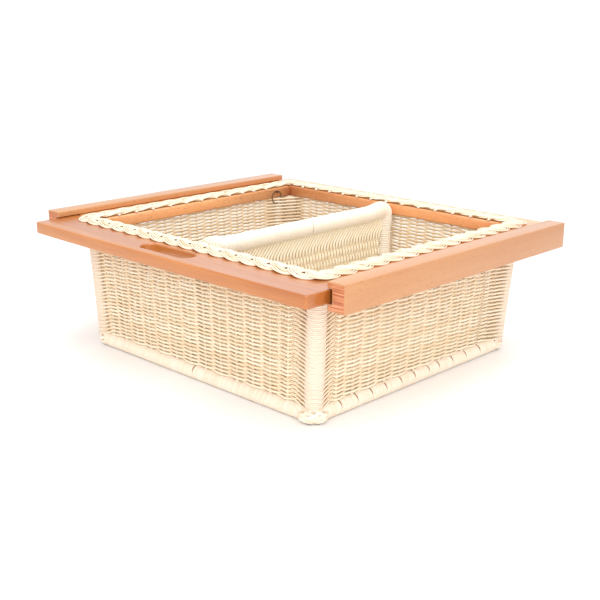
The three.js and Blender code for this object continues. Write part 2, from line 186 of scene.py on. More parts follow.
# Border: three groups of rods that swing from side to side over a bed of straight rods
BORDER_MIDDLE = 14
BORDER_CORNER = 14.0
LOBES = 60
PLACES_PER_LOBE = 14
GROUP_SWING = 8.2
GROUP_CLIMB = 1.0
GROUP_HEIGHT = 5.1
GROUP_RODS = 4
GROUP_ARCH = 0.1
# How far the rods come down towards the outer and the inner edge
OUTER_DROP = 3.4
INNER_DROP = 1.7
DROP_REACH = 11
PLAIT_ROD = 2.1
PLAIT_SPACING = 2.45
BED_ROD = 2.5
BED_RISE = 1.4
BED_INNER = -8.5
BED_OUTER = 6
# The bed's dark tone is painted shade, seen through the gaps in the plait
BED_SHADE_TONE = 0.06
# Cut rod ends beside the stakes: diameter, height, and how far they look out and reach in
ROD_END = 3.1
ROD_END_RISE = 1.7
ROD_END_OUT = 1.6
ROD_END_IN = 9
ROD_END_BESIDE = 6.0

# Divider
BAR_Z = 171.5
BAR_RADIUS = 11
DIVIDER_POST = 10
DIVIDER_FOOT = 20.3
DIVIDER_PLAY = 1.3
DIVIDER_FROM_WALL = 4
DIVIDER_SKEW = 3
# The elbows of the hoop: radius, rise above the bar, how soft that rise is, and how much thicker
ELBOW = 12
ELBOW_RISE = 3.2
ELBOW_EASE = 16
ELBOW_WIDENING = 0.6
POST_WIDENING_Z = 140
BAR_SAG = 0.24
HOOP_STRIP = 2.8
HOOP_STRIP_THICKNESS = 1.5
HOOP_CORE_INSET = 1.2
HOOP_STEPS_PER_TURN = 22
# The hoop is a hair thinner than its solid
HOOP_THINNER = 0.15
HOOP_JOINT_Y = 24
HOOP_JOINT_GAP = 1.0
# Panel: upright strands woven round level rods; above the top rod they slant into the bar
TOP_ROD_Z = 135
ROD_PITCH = 12.3
PANEL_PITCH = 3.1
PANEL_STRAND = 3.05
PANEL_SPREAD = 1.6
PANEL_OFFSET = 2.2
PANEL_SLANT = math.radians(40)
PANEL_MARGIN = 9
PANEL_SIDES = 8
PANEL_UNDER_BAR = 8
SHADE_BACKING_PITCH = 2.2
# Height, thickness and tone of the level rods and of the close ones behind the slanting strands;
# both tones are painted shade, dark in the panel's slits and gaps, and the close rods stand only
# where shade is
ROD = (2.6, 2.2, 0.12)
SHADE_BACKING = (2.3, 1.4, 0.14)

# Hanging ring: how much wider and lower it is than its solid; pin: shaft, and widths of its head
RING_WIDER = 0.7
RING_LOWER = 1.5
RING_WIRE = 1.4
PIN_SHAFT = 1.9
PIN_HEAD = (3.2, 2.6)


def srgb(red, green, blue):
    """Linear colour of 0 to 255 display values."""
    def channel(value):
        value /= 255
        return value / 12.92 if value <= 0.04045 else ((value + 0.055) / 1.055) ** 2.4
    return channel(red), channel(green), channel(blue), 1.0


def full_turn(steps):
    return np.linspace(0, 2 * math.pi, steps, endpoint=False)


def unit(vectors):
    return vectors / np.linalg.norm(vectors, axis=1, keepdims=True)


def steps_between(values, steps):
    """Even steps from each value or point to the next, without the last one."""
    values = np.asarray(values, float)
    t = (np.arange(steps) / steps).reshape(-1, *[1] * (values.ndim - 1))
    return np.concatenate([a + (b - a) * t for a, b in zip(values, values[1:])])


def waves_between(values, steps):
    """Soft half waves from each value to the next, without the last one."""
    t = np.arange(steps) / steps
    blend = (1 - np.cos(math.pi * t)) / 2
    return np.concatenate([a * (1 - blend) + b * blend for a, b in zip(values, values[1:])])


def softened(path):
    """A closed path with softer bends."""
    return (np.roll(path, 1, 0) + 2 * path + np.roll(path, -1, 0)) / 4


def places_at(s, at, line):
    """Places at the lengths s along a line whose own points lie at the lengths at."""
    return np.stack([np.interp(s, at, line[:, k]) for k in range(line.shape[1])], 1)


# Meshes

def in_scene(name, data):
    obj = bpy.data.objects.new(name, data)
    bpy.context.scene.collection.objects.link(obj)
    return obj


def make_object(name, co, loops, starts, uv, points, materials, face_material=None):
    """A mesh object from flat arrays; points are named values for each vertex."""
    mesh = bpy.data.meshes.new(name)
    mesh.vertices.add(len(co))
    mesh.vertices.foreach_set("co", (np.asarray(co) * MM).astype(np.float32).ravel())
    mesh.loops.add(len(loops))
    mesh.loops.foreach_set("vertex_index", np.asarray(loops, np.int32))
    mesh.polygons.add(len(starts))
    mesh.polygons.foreach_set("loop_start", np.asarray(starts, np.int32))
    if face_material is not None:
        mesh.polygons.foreach_set("material_index", np.asarray(face_material, np.int32))
    layer = mesh.uv_layers.new(name="UVMap")
    layer.data.foreach_set("uv", np.asarray(uv, np.float32).ravel())
    for key, values in points.items():
        attribute = mesh.attributes.new(key, "FLOAT", "POINT")
        attribute.data.foreach_set("value", np.asarray(values, np.float32))
    mesh.update(calc_edges=True)
    mesh.validate()
    mesh.shade_smooth()
    for material in materials:
        mesh.materials.append(material)
    return in_scene(name, mesh)


class Strands:
    """Gathers strands swept along paths into one mesh."""

    def __init__(self):
        self.co, self.loops, self.sizes, self.uv = [], [], [], []
        self.tone, self.pale = [], []
        self.count = 0

    def add(self, path, width, thickness, up=(0, 0, 1), sides=8, closed=False, tone=None, pale=0.0):
        """width is measured along up, thickness square to it and to the path.

        tone is one value or one for each place of the path and side of the strand.
        """
        path = np.asarray(path, float)
        n = len(path)
        if closed:
            tangent = np.roll(path, -1, 0) - np.roll(path, 1, 0)
        else:
            tangent = np.gradient(path, axis=0)
        tangent = unit(tangent)
        out = unit(np.cross(tangent, up))
        across = np.cross(out, tangent)
        angle = np.arange(sides) * 2 * math.pi / sides
        a = np.broadcast_to(np.divide(thickness, 2), n)[:, None, None]
        b = np.broadcast_to(np.divide(width, 2), n)[:, None, None]
        ring = (path[:, None] + a * np.cos(angle)[None, :, None] * out[:, None]
                + b * np.sin(angle)[None, :, None] * across[:, None])
        self.co.append(ring.reshape(-1, 3))

        steps = n if closed else n - 1
        j = np.arange(steps)[:, None]
        i = np.arange(sides)[None, :]
        here, there = self.count + j * sides, self.count + (j + 1) % n * sides
        nexti = (i + 1) % sides
        quads = np.stack([here + i, there + i, there + nexti, here + nexti], -1).reshape(-1)
        self.loops.append(quads)
        self.sizes.append(np.full(steps * sides, 4))
        jumps = np.linalg.norm(np.diff(path, axis=0, append=path[:1]), axis=1)
        length = np.concatenate([[0], np.cumsum(jumps)]) / 10
        u0 = np.broadcast_to(length[:steps, None], (steps, sides))
        u1 = np.broadcast_to(length[1:steps + 1, None], (steps, sides))
        v0 = np.broadcast_to(i / sides, (steps, sides))
        v1 = v0 + 1 / sides
        self.uv.append(np.stack([u0, v0, u1, v0, u1, v1, u0, v1], -1).reshape(-1, 2))
        if not closed:
            first = self.count + np.arange(sides)
            last = self.count + (n - 1) * sides + np.arange(sides)[::-1]
            self.loops += [first, last]
            self.sizes.append(np.full(2, sides))
            self.uv.append(np.full((2 * sides, 2), 0.5))
        tone = random.uniform(0.2, 1) if tone is None else tone
        self.tone.append(np.broadcast_to(tone, (n, sides)).ravel())
        self.pale.append(np.repeat(np.broadcast_to(pale, n), sides))
        self.count += n * sides

    def finish(self, name, material, body, nodes):
        gathered = self.co, self.loops, self.sizes, self.uv, self.tone, self.pale
        co, loops, sizes, uv, tone, pale = (np.concatenate(rows) for rows in gathered)
        starts = np.concatenate([[0], np.cumsum(sizes)[:-1]])
        points = {"tone": tone, "pale": pale}
        obj = make_object(name, co, loops, starts, uv, points, [material])
        attach(obj, body, nodes)


def attach(obj, body, nodes):
    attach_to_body(obj, body)
    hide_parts(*nodes)


def smooth_noise(count, scale, size):
    """Smooth closed random wave of count points, about scale waves long."""
    t = np.arange(count) * 2 * math.pi / count
    wave = np.zeros(count)
    for harmonic in range(1, 5):
        turns = max(1, round(scale * harmonic / 2))
        wave += np.sin(turns * t + random.uniform(0, 6.28)) / harmonic
    return wave * size / 2


# Materials

class Nodes:
    """Short way to build a material's node tree."""

    def __init__(self, name):
        self.material = bpy.data.materials.new(name)
        self.material.use_nodes = True
        self.tree = self.material.node_tree
        self.shader = self.tree.nodes["Principled BSDF"]

    def feed(self, socket, value):
        """Links a socket to the output of another node or sets it to a plain value."""
        if hasattr(value, "is_output"):
            self.tree.links.new(value, socket)
        else:
            socket.default_value = value

    def surface(self, inputs):
        for key, value in inputs.items():
            self.feed(self.shader.inputs[key], value)

    def node(self, kind, **inputs):
        made = self.tree.nodes.new(kind)
        for key, value in inputs.items():
            self.feed(made.inputs[key], value)
        return made

    def place(self, kind):
        return self.node("ShaderNodeTexCoord").outputs[kind]

    def attribute(self, name):
        made = self.node("ShaderNodeAttribute")
        made.attribute_name = name
        return made.outputs["Fac"]

    def ramp(self, factor, stops):
        made = self.node("ShaderNodeValToRGB", Fac=factor)
        elements = made.color_ramp.elements
        while len(elements) < len(stops):
            elements.new(0.5)
        for element, (place, color) in zip(elements, stops):
            element.position = place
            element.color = color
        return made.outputs["Color"]

    def mix(self, factor, first, second):
        """The sockets of a colour mix go by number, because its other types repeat their names."""
        made = self.node("ShaderNodeMix")
        made.data_type = "RGBA"
        for index, value in ((0, factor), (6, first), (7, second)):
            self.feed(made.inputs[index], value)
        return made.outputs[2]

    def noise(self, place, stretch, detail=2.0, roughness=0.5):
        """Noise that is as fine along each axis as stretch says."""
        place = self.node("ShaderNodeMapping", Vector=place, Scale=stretch).outputs["Vector"]
        made = self.node(
            "ShaderNodeTexNoise", Vector=place, Scale=1.0, Detail=detail, Roughness=roughness)
        return made.outputs["Fac"]

    def bump(self, height, strength, distance):
        made = self.node("ShaderNodeBump", Height=height, Strength=strength, Distance=distance)
        self.surface({"Normal": made.outputs["Normal"]})

    def share(self, factor, start, end, low, high):
        """A grey that goes from low at start to high at end of factor."""
        return self.ramp(factor, [(start, (low, low, low, 1)), (end, (high, high, high, 1))])


SHADED_CANE = srgb(150, 100, 58)
BEECH_FLECK = srgb(170, 104, 62)
BEECH_COAT = 0.55


def cane_material(name, dark, light, pale, roughness):
    """Peeled cane: each strand has its own tone, with fine fibres along it."""
    dark, light, pale = srgb(*dark), srgb(*light), srgb(*pale)
    m = Nodes(name)
    uv = m.place("UV")
    # tones near 0 reach SHADED_CANE, painted shade for parts that are seen only in shadow
    base = m.ramp(m.attribute("tone"), [(0.0, SHADED_CANE), (0.15, dark), (1.0, light)])
    base = m.mix(m.attribute("pale"), base, pale)
    blotch = m.noise(uv, (0.35, 0.4, 1), 3)
    base = m.mix(m.share(blotch, 0.35, 0.75, 0, 0.4), base, dark)
    fibres = m.noise(uv, (1.2, 14, 1), 3)
    base = m.mix(m.share(fibres, 0.3, 0.6, 0.18, 0), base, dark)
    rough = m.share(fibres, 0.2, 0.8, roughness + 0.12, roughness - 0.06)
    m.surface({"Base Color": base, "Roughness": rough, "Specular IOR Level": 0.4})
    m.bump(fibres, 0.25, 0.0003)
    return m.material


def beech_material(name, along, light, dark, roughness):
    """Steamed beech under lacquer; along is the axis that the grain follows."""
    def scale(lengthwise, across):
        return tuple(lengthwise if axis == along else across for axis in "XYZ")

    light, dark = srgb(*light), srgb(*dark)
    m = Nodes(name)
    place = m.place("Object")
    broad = m.noise(place, scale(2.2, 26), 4, 0.6)
    fine = m.noise(place, scale(9, 420), 4, 0.6)
    flecks = m.noise(place, scale(170, 850), 1, 0.4)
    cloud = m.noise(place, scale(5, 14), 2)
    base = m.ramp(broad, [(0.3, dark), (0.68, light)])
    base = m.mix(m.share(cloud, 0.35, 0.7, 0, 0.35), base, dark)
    base = m.mix(m.share(fine, 0.35, 0.6, 0.3, 0), base, dark)
    base = m.mix(m.share(flecks, 0.62, 0.7, 0, 0.5), base, BEECH_FLECK)
    rough = m.share(fine, 0.3, 0.7, roughness + 0.1, roughness)
    m.surface({"Base Color": base, "Roughness": rough})
    m.surface({"Coat Weight": BEECH_COAT, "Coat Roughness": 0.2})
    m.bump(fine, 0.12, 0.0003)
    return m.material


def end_grain_material():
    """Sawn end of a board: fine level lines of the year rings."""
    m = Nodes("beech_end")
    rings = m.noise(m.place("Object"), (25, 25, 620), 3, 0.6)
    base = m.ramp(rings, [(0.38, srgb(168, 90, 56)), (0.62, srgb(222, 152, 108))])
    m.surface({"Base Color": base, "Roughness": 0.6})
    m.bump(rings, 0.3, 0.0004)
    return m.material


def wire_material():
    m = Nodes("dull_wire")
    spots = m.noise(m.place("Object"), (900, 900, 900), 2)
    base = m.ramp(spots, [(0.3, srgb(70, 54, 40)), (0.7, srgb(120, 100, 78))])
    m.surface({"Base Color": base, "Metallic": 0.7, "Roughness": 0.45})
    return m.material


# Name, display colours (cane: dark, light and pale; beech: light and dark) and roughness
WEAVE = cane_material("cane_weave", (236, 210, 174), (250, 237, 214), (235, 219, 200), 0.5)
PLAIT = cane_material("cane_plait", (222, 196, 156), (249, 238, 219), (250, 240, 224), 0.42)
WRAP = cane_material("cane_wrap", (238, 217, 190), (249, 237, 222), (250, 239, 227), 0.45)
HOOP_WRAP = cane_material("cane_hoop_wrap", (246, 230, 204), (254, 246, 230), (255, 250, 238), 0.45)
PANEL_CANE = cane_material("cane_panel", (246, 226, 188), (254, 245, 222), (255, 248, 228), 0.5)
POST_WRAP = cane_material("cane_post_wrap", (220, 193, 163), (233, 214, 196), (233, 217, 200), 0.45)
# One beech painted lit and shaded: the front board's is painted darker, against the light that the
# floor throws onto its front, and the rear and side boards' is painted lighter, against the shade
# on their inner faces
BEECH_X = beech_material("beech_x", "X", (200, 127, 58), (160, 84, 32), 0.3)
BEECH_X_PAINTED_LIGHTER = beech_material("beech_x_painted_lighter", "X", (244, 174, 116), (222, 144, 88), 0.34)
BEECH_Y = beech_material("beech_y", "Y", (252, 190, 132), (232, 160, 104), 0.34)
RUNNER_BEECH = beech_material("beech_runner", "Y", (203, 148, 98), (187, 127, 79), 0.42)
END_GRAIN = end_grain_material()
WIRE = wire_material()


# Boards and runners

def arc(cx, cy, radius, start, end, steps):
    angles = np.linspace(start, end, steps + 1)
    return [(cx + radius * math.cos(a), cy + radius * math.sin(a)) for a in angles]


def inset(outline, distance):
    """Moves each corner of an anticlockwise outline inwards by distance."""
    points = np.asarray(outline, float)
    before = unit(points - np.roll(points, 1, 0))
    after = unit(np.roll(points, -1, 0) - points)
    n1 = np.stack([-before[:, 1], before[:, 0]], 1)
    n2 = np.stack([-after[:, 1], after[:, 0]], 1)
    middle = n1 + n2
    middle /= (middle * n1).sum(1, keepdims=True)
    return points + middle * distance


def solid_between(name, outline, hole, low, high, arris, materials, to_space=None):
    """A plate with rounded edges from an anticlockwise outline and an optional hole.

    A second material goes on its two flat faces. to_space turns the plate out of the level.
    """
    levels = []
    for i in range(EDGE_STEPS + 1):
        a = math.pi / 2 * i / EDGE_STEPS
        levels.append((arris * (1 - math.sin(a)), low + arris * (1 - math.cos(a))))
    levels = [(arris + 1.0, low)] + levels
    levels += [(d, low + high - z) for d, z in reversed(levels)]
    co, loops, starts, kinds = [], [], [], []

    def walls(points, flip):
        first = len(co)
        n = len(points)
        for distance, z in levels:
            ring = inset(points, -distance if flip else distance)
            co.extend((p[0], p[1], z) for p in ring)
        for r in range(len(levels) - 1):
            for i in range(n):
                a, b = first + r * n + i, first + r * n + (i + 1) % n
                quad = [a, b, b + n, a + n]
                starts.append(len(loops))
                loops.extend(reversed(quad) if flip else quad)
                kinds.append(0)
        last = first + (len(levels) - 1) * n
        return list(range(first, first + n)), list(range(last, last + n))

    outer_low, outer_high = walls(outline, False)
    rings = [(outer_low, outer_high)]
    if hole is not None:
        rings.append(walls(hole, True))
    for side in (0, 1):
        index = [i for pair in rings for i in pair[side]]
        polygons = [[Vector((co[i][0], co[i][1], 0)) for i in pair[side]] for pair in rings]
        for triangle in tessellate_polygon(polygons):
            corners = [index[i] for i in triangle]
            p = [np.array(co[i][:2]) for i in corners]
            turn = np.cross(np.append(p[1] - p[0], 0), np.append(p[2] - p[0], 0))[2]
            if (turn > 0) != (side == 1):
                corners.reverse()
            starts.append(len(loops))
            loops.extend(corners)
            kinds.append(len(materials) - 1)
    points = np.array([to_space(*p) for p in co] if to_space else co)
    uv = points[np.asarray(loops)][:, :2] / 100
    return make_object(name, points, loops, starts, uv, {}, materials, kinds)


def board(name, material, outline, hole=None):
    plate = solid_between(f"{name}_wood", outline, hole, FRAME_BOTTOM, FRAME_TOP, ARRIS, [material])
    attach(plate, "basket", [name])


def oblong(x0, x1, y0, y1):
    return [(x0, y0), (x1, y0), (x1, y1), (x0, y1)]


def front_board():
    half = FRAME_WIDTH / 2
    r = FRONT_CORNER_RADIUS
    bow = (half * half + FRONT_BOW * FRONT_BOW) / (2 * FRONT_BOW)
    spread = math.asin((half - r) / bow)
    end_edge = FRONT_EDGE + FRONT_BOW
    outline = [(half, OPENING_FRONT), (-half, OPENING_FRONT)]
    ahead = 1.5 * math.pi
    outline += arc(-half + r, end_edge + r, r, math.pi, ahead, CORNER_STEPS)
    outline += arc(0, FRONT_EDGE + bow, bow, ahead - spread, ahead + spread, BOW_STEPS)[1:-1]
    outline += arc(half - r, end_edge + r, r, ahead, 2 * math.pi, CORNER_STEPS)
    slot_radius = SLOT_WIDTH / 2
    reach = SLOT_LENGTH / 2 - slot_radius
    y = FRONT_EDGE + SLOT_SETBACK
    slot = arc(reach, y, slot_radius, -math.pi / 2, math.pi / 2, SLOT_STEPS)
    slot += arc(-reach, y, slot_radius, math.pi / 2, 1.5 * math.pi, SLOT_STEPS)
    board("front_board", BEECH_X, outline, slot)


def runner(side):
    """C section drawn in X and Z for the right side and swept along Y."""
    corners = np.array([
        (LIP_TIP, RUNNER_BOTTOM), (RUNNER_OUTER, RUNNER_BOTTOM), (RUNNER_OUTER, RUNNER_TOP),
        (LIP_TIP, RUNNER_TOP), (LIP_TIP, GROOVE_TOP), (GROOVE_X, GROOVE_TOP),
        (GROOVE_X, GROOVE_BOTTOM), (LIP_TIP, GROOVE_BOTTOM),
    ])
    outline = []
    for i, here in enumerate(corners):
        size = GROOVE_ROUNDING if here[0] == GROOVE_X else RUNNER_ROUNDING
        a, b = unit(np.array([corners[i - 1], corners[(i + 1) % len(corners)]]) - here)
        for t in np.linspace(0, 1, 4):
            bend = (1 - t) ** 2 * a + t ** 2 * b
            outline.append(tuple(here + bend * size))
    if side < 0:
        outline = [(-x, z) for x, z in reversed(outline)]

    def to_space(u, v, w):
        return u, -w, v

    name = "left_runner" if side < 0 else "right_runner"
    piece = solid_between(name + "_wood", outline, None, -RUNNER_REAR, -RUNNER_FRONT,
                          RUNNER_END_ARRIS, [RUNNER_BEECH, END_GRAIN], to_space)
    attach(piece, "runners", [name])


def build_wood():
    front_board()
    half = FRAME_WIDTH / 2
    board("rear_board", BEECH_X_PAINTED_LIGHTER, oblong(-half, half, OPENING_REAR, REAR_EDGE))
    low, high = OPENING_FRONT + SEAT, OPENING_REAR - SEAT
    board("left_board", BEECH_Y, oblong(-half, -OPENING_X, low, high))
    board("right_board", BEECH_Y, oblong(OPENING_X, half, low, high))
    for side in (-1, 1):
        runner(side)
    for name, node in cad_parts.items():
        if name.startswith("dowel_"):
            node.data.materials.clear()
            node.data.materials.append(BEECH_Y)


# Woven walls

def walls_at(z):
    """Distance of the side walls from the middle, and places of the front and the rear wall."""
    share = (WALL_TOP - z) / (WALL_TOP - FOOT_Z)
    x = STAKE_X - WALL_LEAN * share
    return x, STAKE_FRONT + FRONT_WALL_LEAN * share, STAKE_REAR - WALL_LEAN * share


def moved_in(lines, distance):
    """The same three places, each further in by distance."""
    x, front, rear = lines
    return x - distance, front + distance, rear - distance


def corners_of(x, front, rear):
    """Anticlockwise from the front right."""
    return np.array([(x, front), (x, rear), (-x, rear), (-x, front)])


def spread_x(places, z):
    return places * walls_at(z)[0] / STAKE_X


def spread_y(places, z):
    _, front, rear = walls_at(z)
    return front + (places - STAKE_FRONT) * (rear - front) / (STAKE_REAR - STAKE_FRONT)


def wall_sides(z):
    """For each wall, anticlockwise from the front: its stakes and its outward direction."""
    x, front, rear = walls_at(z)
    xs, ys = spread_x(STAKES_X, z), spread_y(STAKES_Y, z)
    return [
        (np.stack([xs, np.full_like(xs, front)], 1), np.array([0.0, -1.0])),
        (np.stack([np.full_like(ys, x), ys], 1), np.array([1.0, 0.0])),
        (np.stack([xs[::-1], np.full_like(xs, rear)], 1), np.array([0.0, 1.0])),
        (np.stack([np.full_like(ys, -x), ys[::-1]], 1), np.array([-1.0, 0.0])),
    ]


def post_axes(z):
    """Corner post axes in the order that follows the walls of wall_sides."""
    return corners_of(*moved_in(walls_at(z), POST_INSET))


def woven_span(stakes, out, sign, steps=6):
    """Wave of a strand in plan along one wall up to its last stake, and how flat it lies."""
    offset = CRIMP * waves_between(sign, steps)
    flat = np.abs(np.cos(math.pi * (np.arange(steps) / steps)))
    return steps_between(stakes, steps) + out * offset[:, None], np.tile(flat, len(stakes) - 1)


def round_post(leave, arrive, axis, steps=9):
    """Straight to the outside of a corner post, round it and on to the next stake."""
    def touch(point, turn):
        step = point - axis
        return math.atan2(step[1], step[0]) + turn * math.acos(WEFT_ON_POST / np.linalg.norm(step))
    first, last = touch(leave, 1), touch(arrive, -1)
    a = first + np.linspace(0, 1, steps + 2) * ((last - first) % (2 * math.pi))
    ring = axis + WEFT_ON_POST * np.stack([np.cos(a), np.sin(a)], 1)
    t = np.arange(steps)[:, None] / steps
    there = leave + (ring[0] - leave) * t
    back = (arrive + (ring[-1] - arrive) * t)[:0:-1]
    on_post = np.concatenate([t[:, 0], np.ones(len(ring)), t[:0:-1, 0]])
    return np.concatenate([there, ring, back]), on_post


def across_corner(stake, out, next_stake, next_out, steps=10):
    """Round the outside of the last stake and straight across the corner inside the post."""
    step = next_stake - stake
    normal = np.array([step[1], -step[0]]) / np.linalg.norm(step)

    def bend(centre, start, end):
        t = np.linspace(0, 1, 5)[:, None]
        return centre + CRIMP * unit(start * (1 - t) + end * t)
    leave, arrive = bend(stake, out, normal), bend(next_stake, normal, next_out)
    t = np.arange(1, steps)[:, None] / steps
    chord = leave[-1] + (arrive[0] - leave[-1]) * t
    points = np.concatenate([leave, chord, arrive[:-1]])
    return points, np.zeros(len(points))


def weft_row(z, outside):
    """One closed row in plan, how flat it lies and how far it has come to lie on a post.

    Every row passes before and behind the stakes by turns, with a corner post counted as a stake.
    outside is 1 for the rows that pass outside the posts.
    """
    points, flat, on_post = [], [], []
    sides, posts = wall_sides(z), post_axes(z)
    index = 0
    for w in range(4):
        stakes, out = sides[w]
        next_stakes, next_out = sides[(w + 1) % 4]
        sign = np.where((np.arange(len(stakes)) + index + outside) % 2 == 0, 1.0, -1.0)
        index += len(stakes) + 1
        wave, wave_flat = woven_span(stakes, out, sign)
        if outside:
            leave, arrive = stakes[-1] - out * CRIMP, next_stakes[0] - next_out * CRIMP
            turn, share = round_post(leave, arrive, posts[w])
        else:
            turn, share = across_corner(stakes[-1], out, next_stakes[0], next_out)
        points += [wave, turn]
        flat += [wave_flat, np.full(len(turn), 0.3)]
        on_post += [np.zeros(len(wave)), share]
    return softened(np.concatenate(points)), np.concatenate(flat), np.concatenate(on_post)


def row_height(row):
    return WALL_BOTTOM + (row + 0.5) * ROW_PITCH


def bowl(z):
    """How much further the lowest rows hang down round the front of a post."""
    return BOWL_DEPTH * np.clip((BOWL_TOP - z) / (BOWL_TOP - WALL_BOTTOM), 0, 1)


def lining_loop(z):
    """Flat strip in the plane of the stakes: its path, height, thickness and tone, which is painted
    shade beside the posts and painted light on the rear and left walls.
    """
    corners = corners_of(*walls_at(z))
    plan, height, thickness, tone = [], [], [], []
    for i, corner in enumerate(corners):
        span = corners[(i + 1) % 4] - corner
        length = np.linalg.norm(span)
        for away in (0, CORNER_REACH, CORNER_FADE, length - CORNER_FADE, length - CORNER_REACH):
            beside = min(away, length - away) <= CORNER_REACH
            nearest = i if away < length / 2 else (i + 1) % 4
            plan.append(corner + span * away / length)
            height.append(ROW_PITCH * (CORNER_SHARE if beside else LINING_SHARE[i]))
            thickness.append(CORNER_THICKNESS if beside else LINING_THICKNESS[i])
            tone.append([CORNER_SHADE_TONES[nearest] if beside else LINING_PAINTED_TONE[i]])
    path = np.column_stack([plan, np.full(len(plan), z)])
    return path, np.array(height), np.array(thickness), np.array(tone)


def build_walls():
    weave = Strands()
    for row in range(ROWS):
        z = row_height(row)
        plan, flat, on_post = weft_row(z, row % 2)
        sink = (POST_DROP + bowl(z)) * on_post ** 2 * (3 - 2 * on_post)
        heights = z - sink + smooth_noise(len(plan), 24, WEFT_WANDER)
        path = np.column_stack([plan, heights])
        size = 1 + smooth_noise(len(plan), 30, 0.05)
        width = 2 * WEFT * (1 + WEFT_SPREAD * flat + POST_SPREAD * on_post) * size
        thickness = 2 * WEFT * (1 - WEFT_THINNING * flat)
        weave.add(path, width, thickness, sides=6, closed=True, pale=on_post ** 4)
        # the strips carry painted light and shade in their tones
        lining, height, thickness, tone = lining_loop(z)
        weave.add(lining, height, thickness, closed=True, tone=tone, sides=4)
    heights = np.linspace(WALL_BOTTOM - STAKE_BELOW_WALL, WALL_TOP, 12)
    plans = [np.concatenate([stakes for stakes, _ in wall_sides(z)]) for z in heights]
    for plan in zip(*plans):
        stake = np.column_stack([plan, heights])
        weave.add(stake, 2 * STAKE, 2 * STAKE, up=UP_FOR_UPRIGHTS, tone=0.9, pale=0.5)
    nodes = [f"{side}_wall" for side in SIDES]
    weave.finish("woven_walls", WEAVE, "basket", nodes)


def build_posts():
    """Each corner post is wrapped all round; the weft lies between its rings on the outside."""
    names = ("front_right", "rear_right", "rear_left", "front_left")
    core = 2 * (RING_UNDER_WEFT - WEFT) + 1
    a = full_turn(30)
    for w, name in enumerate(names):
        post = Strands()
        ends = WALL_BOTTOM - POST_BELOW_WALL, WALL_TOP
        low, high = (np.append(post_axes(z)[w], z) for z in ends)
        # the dark core is painted shade, seen between the rings
        post.add(np.linspace(low, high, 4), core, core, up=UP_FOR_UPRIGHTS, sides=20, tone=0.05)
        for row in range(ROWS + 1):
            z = row_height(row) - POST_DROP
            reach = RING_ON_POST if row % 2 == 0 or row == ROWS else RING_UNDER_WEFT
            plan = post_axes(z)[w] + reach * np.stack([np.cos(a), np.sin(a)], 1)
            outward = math.radians(45 * (2 * w - 1))
            heights = z + smooth_noise(len(a), 2, 0.2) - bowl(z) * np.cos(a - outward)
            ring = np.column_stack([plan, heights])
            post.add(ring, RING_HEIGHT, 2 * WEFT, closed=True, pale=1.0)
        node = f"corner_post_{name}"
        post.finish(node + "_cane", POST_WRAP, "basket", [node])


# Foot rolls, knots and base

def foot_lines():
    return moved_in(walls_at(FOOT_Z), FOOT_INSET)


def parting(away, pitch):
    """How turns of a strip draw back from a place that they are away from, from -1 to 1."""
    return np.where(away >= 0, 1, -1) * np.exp(-(away / pitch) ** 2 / 1.4)


def wrapping(strands, start, end, radius, first, slits):
    """A flat strip wound round a straight axis; it parts a little at each slit."""
    length = np.linalg.norm(end - start)
    axis = (end - start) / length
    second = np.cross(axis, first)
    turns = length / ROLL_STRIP
    along = np.linspace(0, length, int(turns * ROLL_STEPS_PER_TURN))
    angle = along / ROLL_STRIP * 2 * math.pi
    shift = np.zeros(len(along))
    window = SLIT_GAP * np.clip(np.cos(angle - SLIT_ANGLE), 0, 1) ** 3
    for slit in slits:
        shift += parting(along - slit, ROLL_STRIP) * window
    middle = start + axis * (along + shift)[:, None]
    reach = radius - ROLL_STRIP_THICKNESS / 2
    path = middle + reach * (np.cos(angle)[:, None] * first + np.sin(angle)[:, None] * second)
    tones = random.uniform(0.25, 1, int(turns) + 2)[(along / ROLL_STRIP).astype(int)][:, None]
    strands.add(path, ROLL_STRIP * 0.98, ROLL_STRIP_THICKNESS, up=axis, sides=6, tone=tones,
                pale=0.2)


def build_foot():
    x, front, rear = foot_lines()
    z = FOOT_Z
    end_x, end_front, end_rear = moved_in(foot_lines(), ROLL_SHORT_OF_CORNER)
    joint = [end_x - ROLL_JOINT]
    rolls = {
        "front": ((-end_x, front, z), (end_x, front, z), (0, -1, 0), joint),
        "right": ((x, end_front, z), (x, end_rear, z), (1, 0, 0), ROLL_SLITS - end_front),
        "rear": ((end_x, rear, z), (-end_x, rear, z), (0, 1, 0), joint),
        "left": ((-x, end_rear, z), (-x, end_front, z), (-1, 0, 0), end_rear - ROLL_SLITS),
    }
    for name, (start, end, out, slits) in rolls.items():
        roll = Strands()
        start, end, out = (np.array(v, float) for v in (start, end, out))
        # the dark core is painted shade, seen where the wrapping parts at the slits and the joint
        roll.add(np.linspace(start, end, 3), ROLL_CORE, ROLL_CORE, sides=20, tone=0.0)
        wrapping(roll, start, end, FOOT_DIAMETER / 2, out, slits)
        roll.finish(f"{name}_foot_roll_cane", WRAP, "basket", [f"{name}_foot_roll"])


